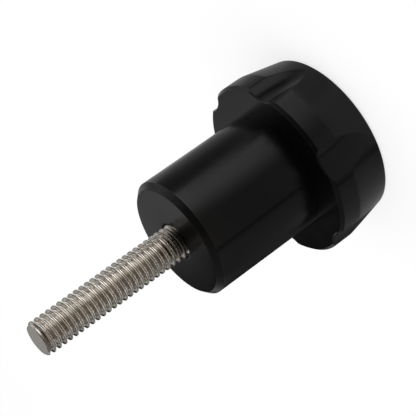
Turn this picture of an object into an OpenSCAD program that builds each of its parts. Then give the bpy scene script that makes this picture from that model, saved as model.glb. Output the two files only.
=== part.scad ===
// Thumb bolt: a turned black knob with a long round shank, and a threaded steel stud held in the shank's end.
// It stands on the knob's flat top, with its axis along +Z and the stud pointing up.

/* [Head] */
// Diameter of the head's straight band, the widest part of the knob
head_d = 41.25; // [36:0.05:48]
// Height of the head, from its flat top to the flat face beside the shank
head_h = 14.9; // [11:0.05:20]
// Diameter at the flat top, where the tapered side ends
top_d = 37.45; // [32:0.05:41]
// Height of the straight band, measured from the face beside the shank
band_h = 5.15; // [2:0.05:9]
// Chamfer around the face beside the shank
face_chamfer = 0.65; // [0.2:0.05:1.5]
// Edge break around the flat top
top_edge = 0.4; // [0.1:0.05:1]

/* [Finger flutes] */
// Number of flutes around the head
flute_count = 6; // [4:1:8]
// Radius of each flute's round section
flute_r = 6.5; // [4:0.1:9]
// Depth of each flute below the straight band
flute_depth = 1.45; // [0.6:0.05:2.4]

/* [Shank] */
// Diameter of the shank
shank_d = 27.5; // [20:0.1:32]
// Length of the shank, from the head's face to the end face
shank_len = 27.9; // [20:0.1:40]
// Chamfer around the shank's end face
shank_chamfer = 1.2; // [0.4:0.05:2.5]

/* [Stud] */
// Major diameter of the stud's thread
stud_d = 7.7; // [7:0.05:10]
// Length of the stud that stands out of the end face
stud_reach = 36.1; // [20:0.1:60]
// Chamfer at the stud's tip
tip_chamfer = 0.45; // [0.2:0.05:1]
// Diameter of the plain end that the knob holds
held_d = 7; // [5:0.05:7]
// Length of the plain end that the knob holds
held_len = 22; // [12:0.5:30]

/* [Thread] */
// Pitch of the thread, 18 turns an inch
thread_pitch = 1.411; // [1.1:0.001:1.6]
// Angle between the two flanks of a groove
thread_angle = 60; // [50:1:70]
// Width of the flat crest
crest_flat = 0.3; // [0.15:0.01:0.4]
// Width of the flat root
root_flat = 0.24; // [0.1:0.01:0.4]

/* [Fits] */
// Radial gap of the bonded joint between the plain end and its bore
bond_gap = 0.05; // [0.01:0.01:0.2]
// Radial gap between the thread and the rim of the bore
mouth_gap = 0.25; // [0.1:0.05:0.8]
// Depth of the relief around the rim of the bore
mouth_depth = 0.6; // [0.3:0.05:1.5]

/* [Hidden] */
$fn = 120;
// Facets around the stud, which has many narrow bands
stud_facets = 40;

head_r = head_d / 2;
top_r = top_d / 2;
shank_r = shank_d / 2;
stud_r = stud_d / 2;
held_r = held_d / 2;

// Heights above the flat top
taper_h = head_h - band_h;
shoulder_z = head_h + shank_len;
tip_z = shoulder_z + stud_reach;
seat_z = shoulder_z - held_len;

// Blind bore, sized from the stud that it holds
bore_r = held_r + bond_gap;
mouth_r = stud_r + mouth_gap;

// Round flutes, cut parallel to the axis so that they run out on the taper
flute_floor_r = head_r - flute_depth;
flute_axis_r = flute_floor_r + flute_r;
flute_overrun = 1;

// Thread: level grooves one pitch apart stand in for its turns, counted down from the crest at the tip
groove_w = thread_pitch - crest_flat;
flank_h = (groove_w - root_flat) / 2;
root_r = stud_r - flank_h / tan(thread_angle / 2);
groove_top_z = tip_z - tip_chamfer - crest_flat;
groove_count = floor((groove_top_z - shoulder_z) / thread_pitch);

// Radius of the tapered side at height z
function taper_r(z) = top_r + (head_r - top_r) * z / taper_h;

// Half section of the groove whose upper edge is at height z, from its lower edge up
function groove(z) = [
    [stud_r, z - groove_w],
    [root_r, z - groove_w + flank_h],
    [root_r, z - flank_h],
    [stud_r, z]
];

// Half section of the knob: flat top, taper, band, face, shank, end face and blind bore
knob_section = [
    [0, 0],
    [top_r - top_edge, 0],
    [taper_r(top_edge), top_edge],
    [head_r, taper_h],
    [head_r, head_h - face_chamfer],
    [head_r - face_chamfer, head_h],
    [shank_r, head_h],
    [shank_r, shoulder_z - shank_chamfer],
    [shank_r - shank_chamfer, shoulder_z],
    [mouth_r, shoulder_z],
    [mouth_r, shoulder_z - mouth_depth],
    [bore_r, shoulder_z - mouth_depth],
    [bore_r, seat_z],
    [0, seat_z]
];

// Half section of the stud: plain held end, thread and chamfered tip
stud_section = [
    [0, seat_z],
    [held_r, seat_z],
    [held_r, shoulder_z],
    [stud_r, shoulder_z],
    for (i = [groove_count - 1 : -1 : 0])
        each groove(groove_top_z - i * thread_pitch),
    [stud_r, tip_z - tip_chamfer],
    [stud_r - tip_chamfer, tip_z],
    [0, tip_z]
];

module flute() {
    translate([flute_axis_r, 0, -flute_overrun])
        cylinder(r = flute_r, h = head_h + 2 * flute_overrun);
}

module knob() {
    color([0.05, 0.05, 0.05])
        difference() {
            rotate_extrude()
                polygon(knob_section);
            for (i = [0 : flute_count - 1])
                rotate([0, 0, i * 360 / flute_count])
                    flute();
        }
}

module threaded_stud() {
    color([0.66, 0.63, 0.59])
        rotate_extrude($fn = stud_facets)
            polygon(stud_section);
}

knob();
threaded_stud();
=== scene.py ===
"""Fluted thumb bolt: a glossy black knob on a long shank, and a threaded steel stud.

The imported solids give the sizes. Both pieces are worked out again as surfaces that keep the solids' form
and add what the solids leave out: softened edges, the climb of the thread and the finishes.
"""
import math

import bpy
import numpy as np
from mathutils import Matrix, Vector


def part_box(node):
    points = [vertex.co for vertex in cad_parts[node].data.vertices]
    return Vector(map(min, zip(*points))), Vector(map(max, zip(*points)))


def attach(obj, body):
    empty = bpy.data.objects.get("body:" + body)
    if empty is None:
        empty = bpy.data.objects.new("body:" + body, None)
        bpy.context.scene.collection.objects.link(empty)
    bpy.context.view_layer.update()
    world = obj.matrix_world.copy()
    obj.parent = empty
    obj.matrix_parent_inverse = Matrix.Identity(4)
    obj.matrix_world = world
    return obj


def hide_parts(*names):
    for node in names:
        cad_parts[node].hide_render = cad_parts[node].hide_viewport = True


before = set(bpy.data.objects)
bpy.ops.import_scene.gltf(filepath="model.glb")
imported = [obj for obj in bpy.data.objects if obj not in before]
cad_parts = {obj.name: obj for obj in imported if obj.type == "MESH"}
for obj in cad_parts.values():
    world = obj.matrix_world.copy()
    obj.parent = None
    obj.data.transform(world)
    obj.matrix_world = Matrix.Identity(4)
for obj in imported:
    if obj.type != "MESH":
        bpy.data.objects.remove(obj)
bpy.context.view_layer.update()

MM = 0.001
TURN = 2 * math.pi

# Sizes that the frame gives
knob_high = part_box("knob")[1]
stud_low, stud_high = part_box("threaded_stud")
HEAD_R = knob_high.y
SHOULDER_Z = knob_high.z
TIP_Z = stud_high.z
SEAT_Z = stud_low.z
STUD_R = stud_high.y

# The knob's other sizes, as its solid has them
HEAD_H = 14.9 * MM
TOP_R = 18.725 * MM
TAPER_H = 9.75 * MM
FACE_CHAMFER = 0.65 * MM
TOP_EDGE = 0.4 * MM
SHANK_R = 13.75 * MM
SHANK_CHAMFER = 1.2 * MM
MOUTH_DEPTH = 0.6 * MM
BORE_R = 3.55 * MM
FLUTE_COUNT = 6
FLUTE_SECTOR = TURN / FLUTE_COUNT
FLUTE_R = 6.5 * MM
FLUTE_DEPTH = 1.45 * MM
FLUTE_AXIS_R = HEAD_R - FLUTE_DEPTH + FLUTE_R
# The relief round the stud's foot is 0.25 mm wider than the solid's, so that its dark ring shows
MOUTH_R = 4.35 * MM

# How far the knob's edges are softened: along the flutes, where the taper meets the band, and elsewhere
EDGE_BREAK = 0.22 * MM
TAPER_BREAK = 0.35 * MM
FINE_BREAK = 0.07 * MM
SHARP_BREAK = 0.012 * MM

# The stud's held end and its tip
HELD_R = 3.5 * MM
HELD_CHAMFER = 0.3 * MM
TIP_CHAMFER = 0.45 * MM
TIP_ROUND = 0.1 * MM

# The thread's section, with flanks 30 degrees off square and a seam along the crest
PITCH = 25.4 / 18 * MM
FLANK_SLOPE = 1 / math.tan(math.radians(30))
CREST_R = STUD_R + 0.07 * MM
CREST_HALF = 0.14 * MM
CREST_ROUND = 0.04 * MM
ROOT_HALF = 0.15 * MM
ROOT_ROUND = 0.05 * MM
ROOT_R = CREST_R - (PITCH / 2 - CREST_HALF - ROOT_HALF) * FLANK_SLOPE
SEAM_DEPTH = 0.008 * MM
SEAM_HALF = 0.05 * MM
# A point that the crest passes through
CREST_AZIMUTH = math.radians(165.8)
CREST_Z = 75.84 * MM
# Near the tip the root rises to the run-out's radius
RUN_OUT_R = 3.45 * MM
RUN_OUT_Z = TIP_Z - 1.2 * MM
RUN_OUT_H = 0.8 * MM

# Grids: rows on a rounded corner, and the largest share of a straight that the rounding takes
ROUND_ROWS = 6
LEG_SHARE = 0.45
# The least length that a straight's direction is divided by
NO_LENGTH = 1e-12
# Shares of a straight where more rows lie, close to its ends where its shading has to stay flat
MIDWAY = (0.5,)
SPREAD = (0.3, 0.7)
WIDE_SPREAD = (0.15, 0.5, 0.85)
TOP_ROWS = (0.5, 0.97)
GUARDED = (0.06, 0.35, 0.65, 0.94)
LONG_GUARDED = (0.01, 0.04, 0.15, 0.35, 0.65, 0.85, 0.96, 0.99)
# Columns inside a flute, at each of its edges and between two flutes, with the ends that they share
FLUTE_COLUMNS = 36
EDGE_COLUMNS = 15
LAND_COLUMNS = 15
# Shares of a flute's half width between which the columns of its edge lie
EDGE_FROM = 0.9
EDGE_TO = 1.12
# Shares of a flat end's radius where its inner rings lie
KNOB_INNER_RING = 0.3
HELD_INNER_RING = 0.4
TIP_RINGS = (0.985, 0.95, 0.8, 0.4)
# Columns round the stud and the tent, and rows in one pitch of the thread
STUD_COLUMNS = 96
TENT_COLUMNS = 96
ROWS_A_PITCH = 36

# The plastic: its colours, and the scales of its uneven polish and of its grain
PLASTIC_DEEP = (0.0014, 0.0014, 0.0015, 1)
PLASTIC_PALE = (0.0026, 0.0026, 0.0027, 1)
POLISH_SCALE = 260.0
PLASTIC_GRAIN_SCALE = 3200.0

# The steel: its colours, and the scales of its patches, its streaks and its grain
STEEL_DULL = (0.6, 0.548, 0.477, 1)
STEEL_BRIGHT = (0.99, 0.945, 0.88, 1)
PATCH_SCALE = 700.0
STREAK_SCALE = 420.0
STEEL_GRAIN_SCALE = 2600.0
# How many times finer the streaks are across the thread than along it, and the noise that they span
STREAK_STRETCH = 12.0
STREAK_SPAN = (0.36, 0.64)
# The heights between which the thread's finish gives way to the tip face's
TIP_FACE_SPAN = (TIP_Z - 0.06 * MM, TIP_Z - 0.02 * MM)
# Painted highlights and painted shade along the thread, from one crest to the next: levels above 1 paint it
# lighter than the bright steel, and the same levels also make it smoother where it is lighter
THREAD_HIGHLIGHTS_AND_POLISH = [
    (0, 0.9), (0.07, 1.5), (0.13, 0.0), (0.17, 0.3), (0.23, 1.6), (0.29, 0.4), (0.37, 0.2), (0.44, 1.5),
    (0.5, 1.0), (0.56, 1.5), (0.61, 0.2), (0.72, 0.7), (0.86, 0.3), (0.93, 1.5), (1, 0.9),
]

# The camera: its place, the point it looks at, its turn about the line of sight, and its lens
CAMERA_PLACE = Vector((-74.92, -280.58, 156.13)) * MM
CAMERA_AIM = Vector((2.776, 3.433, 30.828)) * MM
CAMERA_ROLL = math.radians(125.43)
CAMERA_LENS = 130.37
SENSOR_WIDTH = 36.0
CLIP_START = 10 * MM

# Lamps: name, place, side and power
LAMPS = [
    ("key_lamp", (-0.25, -0.15, 0.7), 0.5, 1.6),
    ("fill_lamp", (0.4, 0.2, 0.5), 0.5, 0.5),
]

# The white world and floor
WHITE = (1, 1, 1, 1)
WORLD_LIGHT = 0.55
FLOOR_Z = -0.2 * MM
FLOOR_HALF = 6.0
FLOOR_PAPER = (0.8, 0.8, 0.8, 1)
FLOOR_SHADOW = (0.3, 0.3, 0.3, 1)
FLOOR_GLOW = 0.765
FLOOR_FADE = (0.25, 0.9)

# The tent's outline, radius and height, from the middle of its floor up the wall and in to the roof
TENT_Z = -0.1 * MM
TENT_OUTLINE = [(0.02, TENT_Z), (0.06, TENT_Z), (0.3, TENT_Z), (0.3, 0.25), (0.2, 0.4), (0.05, 0.42)]
# How far the tent's azimuth is turned, in degrees, so that 270 is at the camera
TENT_TURN = -15.3
# Distances from the axis between which one ring of the tent's floor gives way to the next
CLOSE_START = (27 * MM, 31 * MM)
LOW_START = (46 * MM, 64 * MM)
LOW_FADE = (90 * MM, 116 * MM)
LOW_FADE_DEPTH = 0.55
FAR_START = (112 * MM, 126 * MM)
WALL_START = (285 * MM, 298 * MM)
# Slopes up from the tent's eye height between which the wall's parts give way to one another
TENT_EYE_Z = 45 * MM
MIDDLE_RISE = (0.02, 0.24)
HIGH_RISE = (0.62, 1.0)
ZENITH_RISE = (2.8, 4.2)
TENT_ZENITH = 0.32
# The fold in the tent's floor: its line, its half width as a share of the distance, and its depth
FOLD_AZIMUTH = math.radians(198.7)
FOLD_OFF = 9.4 * MM
FOLD_START = (6 * MM, 12 * MM)
FOLD_WIDTH = (0.025, 0.06)
FOLD_DEPTH = 0.4
FOLD_DEEPENS = (45 * MM, 60 * MM)
FOLD_MORE_DEPTH = 0.45
# Azimuth in degrees and brightness, round the tent: the floor's four rings, then the wall's two parts
TENT_UNDER = [
    (0, 0.32), (100, 0.3), (190, 0.32), (205, 0.3), (215, 0.26), (225, 0.23), (235, 0.19), (243, 0.19),
    (255, 0.3), (292, 0.33), (300, 0.25), (310, 0.24), (322, 0.2), (335, 0.22), (345, 0.3), (360, 0.32),
]
TENT_CLOSE = [
    (0, 0.21), (11, 0.23), (17, 0.29), (27, 0.33), (40, 0.3), (80, 0.2), (110, 0.04), (154, 0.05),
    (160, 0.12), (169, 0.2), (182, 0.22), (213, 0.2), (226, 0.16), (240, 0.2), (255, 0.23), (266, 0.24),
    (276, 0.19), (282, 0.23), (289, 0.32), (295, 0.43), (304, 0.52), (314, 0.54), (321, 0.62), (327, 0.42),
    (331, 0.1), (335, 0.05), (339, 0.16), (346, 0.22), (360, 0.21),
]
TENT_LOW = [
    (0, 0.11), (10, 0.145), (24, 0.225), (40, 0.28), (48, 0.35), (58, 0.52), (70, 0.54), (80, 0.5),
    (85, 0.12), (90, 0.01), (105, 0.01), (130, 0.03), (147, 0.07), (163, 0.11), (180, 0.15), (204, 0.165),
    (235, 0.138), (274, 0.138), (285, 0.29), (294, 0.48), (302, 0.61), (313, 0.7), (323, 0.63), (333, 0.43),
    (342, 0.22), (350, 0.1), (360, 0.11),
]
TENT_FAR = [
    (0, 0.65), (20, 0.8), (32, 0.95), (55, 0.95), (68, 0.5), (82, 0.5), (90, 0.3), (110, 0.25),
    (150, 0.28), (180, 0.47), (200, 0.68), (225, 0.68), (250, 0.56), (270, 0.58), (285, 0.64), (296, 0.9),
    (308, 1.25), (325, 1.45), (338, 1.4), (348, 1.0), (360, 0.65),
]
TENT_MIDDLE = [
    (0, 0.38), (12, 0.42), (26, 0.48), (38, 0.3), (48, 0.28), (56, 0.4), (65, 0.36), (76, 0.24),
    (83, 0.23), (86, 0.35), (89.4, 0.34), (91, 0.14), (92.6, 0.06), (95, 0.015), (98, 0.005), (108, 0.01),
    (116, 0.3), (124, 0.36), (132, 0.25), (142, 0.13), (190, 0.12), (210, 0.06), (240, 0.02), (300, 0.02),
    (328, 0.08), (345, 0.22), (360, 0.38),
]
TENT_HIGH = [
    (0, 0.3), (24, 0.4), (36, 0.06), (52, 0.06), (62, 0.6), (80, 0.6), (100, 0.5), (120, 0.2),
    (135, 0.16), (180, 0.14), (216, 0.1), (250, 0.02), (290, 0.02), (324, 0.08), (360, 0.3),
]
# How much further out the far ring starts, at most, and azimuth in degrees and the share of that
FAR_REACH = 50 * MM
TENT_REACH = [
    (0, 1), (20, 1), (30, 0), (150, 0), (170, 0.5), (285, 0.5), (300, 0), (334, 0), (344, 1), (360, 1),
]
# The far ring's warmest tint, and azimuth in degrees and the share of that
FAR_WARM = (1.1, 0.98, 0.86, 1)
TENT_WARMTH = [(0, 0), (200, 0), (230, 1), (285, 1), (300, 0.3), (330, 0), (360, 0)]


# Surfaces

def soft_min(a, b, width):
    """The lesser of two values, rounded over a width.

    It is half of a + b less the root of (a - b) squared plus width squared.
    """
    return 0.5 * (a + b - np.sqrt((a - b) ** 2 + width ** 2))


def soft_max(a, b, width):
    """The greater of two values, rounded over a width."""
    return -soft_min(-a, -b, width)


def turned_mesh(name, azimuths, radii, heights):
    """A closed surface from rows of points round the Z axis.

    Row i, column j lies at radii[i, j] and heights[i, j] in the direction azimuths[j]. Each row joins the
    next in quads, the last column joins the first, and one point on the axis closes each end.
    """
    rows, columns = radii.shape
    ring = np.stack([radii * np.cos(azimuths), radii * np.sin(azimuths), heights], axis=-1).reshape(-1, 3)
    poles = np.array([[0.0, 0.0, heights[0].mean()], [0.0, 0.0, heights[-1].mean()]])
    i, j = np.meshgrid(np.arange(rows - 1), np.arange(columns), indexing="ij")
    near = i * columns + j
    beside = i * columns + (j + 1) % columns
    quads = np.stack([near, beside, beside + columns, near + columns], axis=-1).reshape(-1, 4)
    first = np.arange(columns)
    last = (rows - 1) * columns + first
    low_pole = rows * columns
    low_fan = np.stack([np.full(columns, low_pole), np.roll(first, -1), first], axis=-1)
    high_fan = np.stack([np.full(columns, low_pole + 1), last, np.roll(last, -1)], axis=-1)
    mesh = bpy.data.meshes.new(name)
    faces = quads.tolist() + low_fan.tolist() + high_fan.tolist()
    mesh.from_pydata(np.concatenate([ring, poles]).tolist(), [], faces)
    mesh.shade_smooth()
    piece = bpy.data.objects.new(name, mesh)
    bpy.context.scene.collection.objects.link(piece)
    return piece


def rounded_path(corners, breaks, spans):
    """Rows along a path of corners, each rounded by a parabola whose legs have the length in breaks.

    corners has the shape (corners, columns, 2) and holds radius and height. A leg takes at most LEG_SHARE of
    the straight beside it. spans gives, for the straight after each corner, the shares of its length where
    more rows lie.
    """
    step = np.diff(corners, axis=0)
    length = np.linalg.norm(step, axis=-1, keepdims=True)
    way = step / np.maximum(length, NO_LENGTH)
    longest = np.minimum(length[:-1], length[1:]) * LEG_SHARE
    leg = np.minimum(longest, np.array(breaks)[1:-1, None, None])
    start = corners[1:-1] - way[:-1] * leg
    end = corners[1:-1] + way[1:] * leg
    share = np.linspace(0, 1, ROUND_ROWS)[:, None, None, None]
    curve = (1 - share) ** 2 * start + 2 * share * (1 - share) * corners[1:-1] + share ** 2 * end
    leave = np.concatenate([corners[:1], end])
    reach = np.concatenate([start, corners[-1:]])
    rows = [corners[:1]]
    for k, span in enumerate(spans):
        part = np.array(span)[:, None, None]
        rows.append(leave[k] + (reach[k] - leave[k]) * part)
        if k < len(curve[0]):
            rows.append(curve[:, k])
    rows.append(corners[-1:])
    return np.concatenate(rows)


def knob_azimuths():
    """Directions of the knob's columns: close together in the flutes and at their edges, wider between.

    A flute's edge lies where its circle crosses the head's, which the law of cosines gives.
    """
    edge = math.acos((HEAD_R ** 2 + FLUTE_AXIS_R ** 2 - FLUTE_R ** 2) / (2 * HEAD_R * FLUTE_AXIS_R))
    inside = np.linspace(-EDGE_FROM, EDGE_FROM, FLUTE_COLUMNS) * edge
    rim = np.linspace(EDGE_FROM, EDGE_TO, EDGE_COLUMNS)[1:] * edge
    land = np.linspace(EDGE_TO * edge, FLUTE_SECTOR - EDGE_TO * edge, LAND_COLUMNS)[1:-1]
    one = np.concatenate([-rim[::-1], inside, rim, land])
    return (one + FLUTE_SECTOR * np.arange(FLUTE_COUNT)[:, None]).ravel()


def make_knob():
    """The knob: its half section carried round the axis, with the radius held down to the flutes' floors.

    A flute is a cylinder along Z, so in the direction a it limits the radius to the near root of
    r^2 - 2 r A cos(a) + A^2 = R^2, with A the distance of its axis and R its own radius. The limit is blended
    with the straight band, and the height where the taper has that radius is where the flute runs out.
    """
    azimuths = knob_azimuths()
    off = (azimuths + FLUTE_SECTOR / 2) % FLUTE_SECTOR - FLUTE_SECTOR / 2
    inner = FLUTE_R ** 2 - (FLUTE_AXIS_R * np.sin(off)) ** 2
    limit = FLUTE_AXIS_R * np.cos(off) - np.sqrt(np.maximum(inner, 0))
    band = soft_min(limit, HEAD_R, EDGE_BREAK)
    run_out = TAPER_H * (band - TOP_R) / (HEAD_R - TOP_R)
    chamfer = np.clip(band - (HEAD_R - FACE_CHAMFER), EDGE_BREAK, FACE_CHAMFER)
    top_edge_r = TOP_R + (HEAD_R - TOP_R) * TOP_EDGE / TAPER_H
    mouth_z = SHOULDER_Z - MOUTH_DEPTH
    # Radius, height, break, and the rows on the straight that follows
    section = [
        (TOP_R * KNOB_INNER_RING, 0, 0, TOP_ROWS),
        (TOP_R - TOP_EDGE, 0, FINE_BREAK, SPREAD),
        (top_edge_r, TOP_EDGE, FINE_BREAK, GUARDED),
        (band, run_out, TAPER_BREAK, LONG_GUARDED),
        (band, HEAD_H - chamfer, FINE_BREAK, SPREAD),
        (band - chamfer, HEAD_H, FINE_BREAK, GUARDED),
        (SHANK_R, HEAD_H, SHARP_BREAK, LONG_GUARDED),
        (SHANK_R, SHOULDER_Z - SHANK_CHAMFER, FINE_BREAK, WIDE_SPREAD),
        (SHANK_R - SHANK_CHAMFER, SHOULDER_Z, FINE_BREAK, GUARDED),
        (MOUTH_R, SHOULDER_Z, SHARP_BREAK, MIDWAY),
        (MOUTH_R, mouth_z, FINE_BREAK, ()),
        (BORE_R, mouth_z, FINE_BREAK, MIDWAY),
        (BORE_R, SEAT_Z, FINE_BREAK, MIDWAY),
        (BORE_R * KNOB_INNER_RING, SEAT_Z, 0, ()),
    ]
    radii, heights, breaks, spans = zip(*section)
    corners = [np.stack(np.broadcast_arrays(r, z, off)[:2], axis=-1) for r, z in zip(radii, heights)]
    path = rounded_path(np.array(corners), breaks, spans[:-1])
    return turned_mesh("fluted_knob", azimuths, path[..., 0], path[..., 1])


def thread_radius(azimuth, z):
    """Radius of the rolled thread: straight flanks, a rounded root, and a seam between the crest's two lips.

    The crest climbs one pitch for each turn, and the distance from the nearest crest is measured along Z.
    The flank falls by its slope times the distance past the crest's edge. The radius is the lesser of flank
    and crest, but no less than the root, which rises to the run-out near the tip by a smooth step. The seam
    is a bell-shaped dip in the middle of the crest.
    """
    turns = (z - CREST_Z) / PITCH - (azimuth - CREST_AZIMUTH) / TURN
    off = np.abs(turns - np.round(turns)) * PITCH
    flank = CREST_R + (CREST_HALF - off) * FLANK_SLOPE
    ending = np.clip((z - RUN_OUT_Z) / RUN_OUT_H, 0, 1)
    root = ROOT_R + (RUN_OUT_R - ROOT_R) * ending ** 2 * (3 - 2 * ending)
    radius = soft_max(soft_min(flank, CREST_R, CREST_ROUND), root, ROOT_ROUND)
    return radius - SEAM_DEPTH * np.exp(-(off / SEAM_HALF) ** 2)


def make_stud():
    """The stud: a plain held end, the thread on a fine grid of direction and height, and a chamfered tip.

    At the tip the radius is the lesser of the thread's and that of a 45 degree cone.
    """
    azimuths = TURN * np.arange(STUD_COLUMNS) / STUD_COLUMNS
    start_z = SHOULDER_Z - MOUTH_DEPTH
    turns = (TIP_Z - start_z) / PITCH
    z = np.linspace(start_z, TIP_Z, round(turns * ROWS_A_PITCH))[:, None]
    tip_limit = STUD_R - TIP_CHAMFER + (TIP_Z - z)
    thread = soft_min(thread_radius(azimuths, z), tip_limit, TIP_ROUND)
    held = np.array([
        (HELD_R * HELD_INNER_RING, SEAT_Z),
        (HELD_R - HELD_CHAMFER, SEAT_Z),
        (HELD_R, SEAT_Z + HELD_CHAMFER),
        (HELD_R, start_z),
    ])
    face = np.array(TIP_RINGS)[:, None] * thread[-1]
    flat = np.ones(STUD_COLUMNS)
    radii = np.concatenate([held[:, :1] * flat, thread, face])
    heights = np.concatenate([held[:, 1:] * flat, z * flat, np.full_like(face, TIP_Z)])
    return turned_mesh("thread_stud", azimuths, radii, heights)


# Shader maths

class Value:
    """A node's output that takes part in expressions. Each operator adds its Math nodes."""

    def __init__(self, nodes, socket):
        self.nodes = nodes
        self.socket = socket

    def math(self, operation, *others):
        sockets = dict(enumerate((self,) + others))
        return self.nodes.add("ShaderNodeMath", {"operation": operation}, sockets)

    def toward(self, other, share):
        """This value where share is 0, the other where it is 1, and between them in proportion."""
        return self + share * (other - self)

    def __add__(self, other):
        return self.math("ADD", other)

    def __sub__(self, other):
        return self.math("SUBTRACT", other)

    def __rsub__(self, other):
        return self.math("MULTIPLY", -1.0).math("ADD", other)

    def __mul__(self, other):
        return self.math("MULTIPLY", other)

    def __truediv__(self, other):
        return self.math("DIVIDE", other)

    __radd__ = __add__
    __rmul__ = __mul__


class Nodes:
    """Adds nodes to one tree, which starts empty."""

    def __init__(self, owner):
        owner.use_nodes = True
        self.tree = owner.node_tree
        self.tree.nodes.clear()

    def add(self, kind, settings=None, sockets=None, output=0):
        """A node of that type: its settings first, then its sockets' values or links. Gives one output."""
        node = self.tree.nodes.new(kind)
        for name, value in (settings or {}).items():
            if name == "stops":
                self.set_stops(node.color_ramp, value)
            else:
                setattr(node, name, value)
        for name, value in (sockets or {}).items():
            if isinstance(value, Value):
                self.tree.links.new(value.socket, node.inputs[name])
            else:
                node.inputs[name].default_value = value
        return Value(self, node.outputs[output]) if node.outputs else None

    @staticmethod
    def set_stops(ramp, stops):
        while len(ramp.elements) < len(stops):
            ramp.elements.new(1.0)
        for element, (place, level) in zip(ramp.elements, stops):
            element.position = place
            element.color = (level, level, level, 1)

    def coordinates(self):
        return self.add("ShaderNodeTexCoord", output="Object")

    def parts(self, vector):
        """A vector's X, Y and Z, as three values."""
        return [self.add("ShaderNodeSeparateXYZ", {}, {0: vector}, axis) for axis in "XYZ"]

    def ramp(self, value, low, high):
        """0 below low and 1 above high, smooth between."""
        settings = {"interpolation_type": "SMOOTHSTEP"}
        return self.add("ShaderNodeMapRange", settings, {"Value": value, "From Min": low, "From Max": high})

    def noise(self, coordinates, scale, detail, roughness):
        sockets = {"Vector": coordinates, "Scale": scale, "Detail": detail, "Roughness": roughness}
        return self.add("ShaderNodeTexNoise", {}, sockets)

    def blend(self, share, low, high):
        """A colour between two, by a Mix node."""
        return self.add("ShaderNodeMix", {"data_type": "RGBA"}, {"Factor": share, 6: low, 7: high}, 2)

    def azimuth_ramp(self, share, levels):
        """A level that goes round with the azimuth, from pairs of degrees and level."""
        stops = [(azimuth / 360, level) for azimuth, level in levels]
        return self.add("ShaderNodeValToRGB", {"stops": stops}, {"Fac": share})

    def surface(self, shader):
        self.add("ShaderNodeOutputMaterial", {}, {"Surface": shader})


def new_material(name):
    material = bpy.data.materials.new(name)
    return material, Nodes(material)


# Finishes

def black_plastic():
    """Polished black plastic: near-black, unevenly polished, its gloss drawn out by fine turning lines."""
    material, nodes = new_material("black_plastic")
    coordinates = nodes.coordinates()
    polish = nodes.noise(coordinates, POLISH_SCALE, detail=4.0, roughness=0.6)
    grain = nodes.noise(coordinates, PLASTIC_GRAIN_SCALE, detail=2.0, roughness=0.5)
    bump = nodes.add("ShaderNodeBump", {}, {"Height": grain, "Strength": 0.05, "Distance": 0.02 * MM})
    sockets = {
        "Base Color": nodes.blend(polish, PLASTIC_DEEP, PLASTIC_PALE),
        "Roughness": 0.15 + polish * 0.06,
        "IOR": 1.5,
        "Anisotropic": 0.85,
        "Anisotropic Rotation": 0.25,
        "Normal": bump,
    }
    nodes.surface(nodes.add("ShaderNodeBsdfPrincipled", {}, sockets))
    return material


def stud_steel():
    """Rolled steel: warm grey, with painted highlights and painted shade in lines that follow the thread,
    smoother where lighter, and streaks that dull them.

    The tip's face has no lines. It is rougher, with patches and a fine grain.
    """
    material, nodes = new_material("stud_steel")
    coordinates = nodes.coordinates()
    x, y, z = nodes.parts(coordinates)
    climb = (y.math("ARCTAN2", x) - CREST_AZIMUTH) / TURN
    share = ((z - CREST_Z) / PITCH - climb).math("FRACT")
    # Painted highlights and painted shade: the colour's level by where a point lies between two crests
    lines = nodes.add("ShaderNodeValToRGB", {"stops": THREAD_HIGHLIGHTS_AND_POLISH}, {"Fac": share})
    stretch = {"Vector": coordinates, "Scale": (1.0, 1.0, STREAK_STRETCH)}
    drawn = nodes.add("ShaderNodeMapping", {}, stretch)
    streaks = nodes.ramp(nodes.noise(drawn, STREAK_SCALE, detail=3.0, roughness=0.55), *STREAK_SPAN)
    patches = nodes.noise(coordinates, PATCH_SCALE, detail=4.0, roughness=0.6)
    grain = nodes.noise(coordinates, STEEL_GRAIN_SCALE, detail=2.0, roughness=0.6)
    face = nodes.ramp(z, *TIP_FACE_SPAN)
    # The thread's painted highlights and shade, with random streaks, set both the colour and the roughness
    thread_highlights_and_polish = lines * (0.6 + streaks * 0.3) + (streaks - 0.5) * 0.6
    face_polish = 0.3 + patches * 0.5 + grain * 0.7
    polish = thread_highlights_and_polish.toward(face_polish, face)
    height = streaks * (1 - face) + patches * 0.3
    bump = nodes.add("ShaderNodeBump", {}, {"Height": height, "Strength": 0.5, "Distance": 0.004 * MM})
    sockets = {
        "Base Color": nodes.blend(polish, STEEL_DULL, STEEL_BRIGHT),
        "Roughness": 0.22 - polish * 0.12 + face * 0.45,
        "Metallic": 1.0,
        "Normal": bump,
    }
    nodes.surface(nodes.add("ShaderNodeBsdfPrincipled", {}, sockets))
    return material


# Stage

def seen_directly(nodes):
    """1 for rays from the camera and those that a gloss or a clear piece sends on, 0 for light's own rays."""
    kinds = ("Is Camera Ray", "Is Glossy Ray", "Is Transmission Ray")
    camera, glossy, clear = [nodes.add("ShaderNodeLightPath", output=kind) for kind in kinds]
    return camera.math("MAXIMUM", glossy).math("MAXIMUM", clear)


def make_world():
    """A white world, which is dimmer as light on the object than where it is seen."""
    world = bpy.data.worlds.new("studio")
    bpy.context.scene.world = world
    nodes = Nodes(world)
    strength = WORLD_LIGHT + seen_directly(nodes) * (1 - WORLD_LIGHT)
    background = nodes.add("ShaderNodeBackground", {}, {"Color": WHITE, "Strength": strength})
    nodes.add("ShaderNodeOutputWorld", {}, {"Surface": background})


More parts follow.
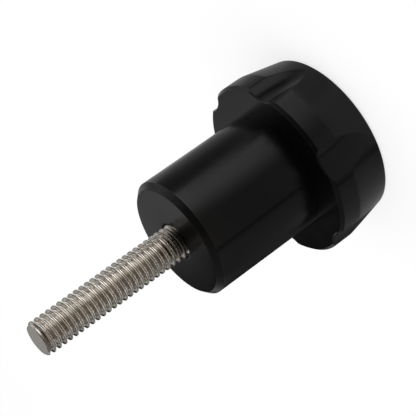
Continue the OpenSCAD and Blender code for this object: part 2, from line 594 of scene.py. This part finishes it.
def make_floor():
    """A wide white floor just under the knob. What is seen is mostly its own white, so shadows stay light.

    Away from the object it is white alone, so that it meets the world's white with no horizon.
    """
    material, nodes = new_material("white_floor")
    x, y, _ = nodes.parts(nodes.coordinates())
    away = nodes.ramp((x * x + y * y).math("SQRT"), *FLOOR_FADE)
    paper = nodes.add("ShaderNodeBsdfDiffuse", {}, {"Color": FLOOR_PAPER})
    shadow = nodes.add("ShaderNodeBsdfDiffuse", {}, {"Color": FLOOR_SHADOW})
    glow = nodes.add("ShaderNodeEmission", {}, {"Color": WHITE, "Strength": FLOOR_GLOW})
    white = nodes.add("ShaderNodeAddShader", {}, {0: shadow, 1: glow})
    plain = nodes.add("ShaderNodeEmission", {}, {"Color": WHITE, "Strength": 1.0})
    seen = nodes.add("ShaderNodeMixShader", {}, {0: away, 1: white, 2: plain})
    nodes.surface(nodes.add("ShaderNodeMixShader", {}, {0: seen_directly(nodes), 1: paper, 2: seen}))
    sides = ((-1, -1), (1, -1), (1, 1), (-1, 1))
    corners = [(FLOOR_HALF * i, FLOOR_HALF * j, FLOOR_Z) for i, j in sides]
    mesh = bpy.data.meshes.new("floor")
    mesh.from_pydata(corners, [], [(0, 1, 2, 3)])
    mesh.materials.append(material)
    floor = bpy.data.objects.new("floor", mesh)
    bpy.context.scene.collection.objects.link(floor)


def tent_cloth():
    """The tent's own light, which goes round by ramps of the azimuth.

    The azimuth is 270 degrees at the camera and 90 behind the object. Outwards the floor has four rings:
    under the object, close, low and far. The low one fades outwards. The far one starts further out, and is
    warmer, where its own ramps say so. A dark fold runs across the floor on one side, and beside the wall
    the floor takes the brightness of the wall's middle. Upwards the floor's level gives way to the wall's
    middle, then to its high part and to a plain zenith.
    """
    material, nodes = new_material("light_tent")
    x, y, z = nodes.parts(nodes.coordinates())
    share = (y.math("ARCTAN2", x) / TURN - TENT_TURN / 360).math("FRACT")
    rings = (TENT_UNDER, TENT_CLOSE, TENT_LOW, TENT_FAR)
    under, close, low, far = [nodes.azimuth_ramp(share, levels) for levels in rings]
    middle, high = [nodes.azimuth_ramp(share, levels) for levels in (TENT_MIDDLE, TENT_HIGH)]
    reach, warmth = [nodes.azimuth_ramp(share, levels) for levels in (TENT_REACH, TENT_WARMTH)]
    out = (x * x + y * y).math("SQRT")
    beyond = nodes.ramp(out - reach * FAR_REACH, *FAR_START)
    ground = under.toward(close, nodes.ramp(out, *CLOSE_START))
    ground = ground.toward(low, nodes.ramp(out, *LOW_START))
    ground = ground * (1 - nodes.ramp(out, *LOW_FADE) * LOW_FADE_DEPTH)
    ground = ground.toward(far, beyond)
    ground = ground.toward(middle, nodes.ramp(out, *WALL_START))
    along = x * math.cos(FOLD_AZIMUTH) + y * math.sin(FOLD_AZIMUTH)
    across = x * math.sin(FOLD_AZIMUTH) - y * math.cos(FOLD_AZIMUTH)
    fold = 1 - nodes.ramp((across + FOLD_OFF).math("ABSOLUTE") / out, *FOLD_WIDTH)
    depth = FOLD_DEPTH + nodes.ramp(out, *FOLD_DEEPENS) * FOLD_MORE_DEPTH
    level = ground * (1 - fold * nodes.ramp(along, *FOLD_START) * depth)
    rise = (z - TENT_EYE_Z) / out
    for part, span in ((middle, MIDDLE_RISE), (high, HIGH_RISE), (TENT_ZENITH, ZENITH_RISE)):
        level = level.toward(part, nodes.ramp(rise, *span))
    tint = nodes.blend(beyond * warmth, WHITE, FAR_WARM)
    mixing = {"data_type": "RGBA", "blend_type": "MULTIPLY"}
    colour = nodes.add("ShaderNodeMix", mixing, {"Factor": 1.0, 6: level, 7: tint}, 2)
    nodes.surface(nodes.add("ShaderNodeEmission", {}, {"Color": colour, "Strength": 1.0}))
    material.cycles.emission_sampling = "NONE"
    return material


def make_tent():
    """A grey light tent that only reflections see: its outline carried round the axis."""
    azimuths = TURN * np.arange(TENT_COLUMNS) / TENT_COLUMNS
    outline = np.array(TENT_OUTLINE)
    flat = np.ones(TENT_COLUMNS)
    tent = turned_mesh("light_tent", azimuths, outline[:, :1] * flat, outline[:, 1:] * flat)
    tent.data.materials.append(tent_cloth())
    tent.visible_camera = False
    tent.visible_diffuse = False
    tent.visible_transmission = False
    tent.visible_shadow = False


def make_lamp(name, place, side, power):
    """A square soft lamp that faces the knob. The tent gives the reflections, so glossy rays don't see it."""
    data = bpy.data.lights.new(name, "AREA")
    data.size = side
    data.energy = power
    lamp = bpy.data.objects.new(name, data)
    lamp.location = place
    lamp.rotation_euler = (-Vector(place)).to_track_quat("-Z", "Y").to_euler()
    lamp.visible_glossy = False
    bpy.context.scene.collection.objects.link(lamp)


def make_camera():
    """The photograph's camera. With no roll it is upright, and the roll turns its up toward its right."""
    forward = (CAMERA_AIM - CAMERA_PLACE).normalized()
    level = forward.cross(Vector((0, 0, 1))).normalized()
    above = level.cross(forward)
    up = above * math.cos(CAMERA_ROLL) + level * math.sin(CAMERA_ROLL)
    right = forward.cross(up)
    data = bpy.data.cameras.new("camera")
    data.sensor_width = SENSOR_WIDTH
    data.lens = CAMERA_LENS
    data.clip_start = CLIP_START
    camera = bpy.data.objects.new("camera", data)
    turn = Matrix((right, up, -forward)).transposed().to_4x4()
    camera.matrix_world = Matrix.Translation(CAMERA_PLACE) @ turn
    bpy.context.scene.collection.objects.link(camera)
    bpy.context.scene.camera = camera


make_camera()
make_world()
make_floor()
make_tent()
for lamp in LAMPS:
    make_lamp(*lamp)

for piece, material, slot, node in (
    (make_knob(), black_plastic(), "black_plastic", "knob"),
    (make_stud(), stud_steel(), "stud_steel", "threaded_stud"),
):
    piece.data.materials.append(material)
    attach(piece, "root")
    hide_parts(node)

bpy.context.scene.view_settings.view_transform = "Standard"
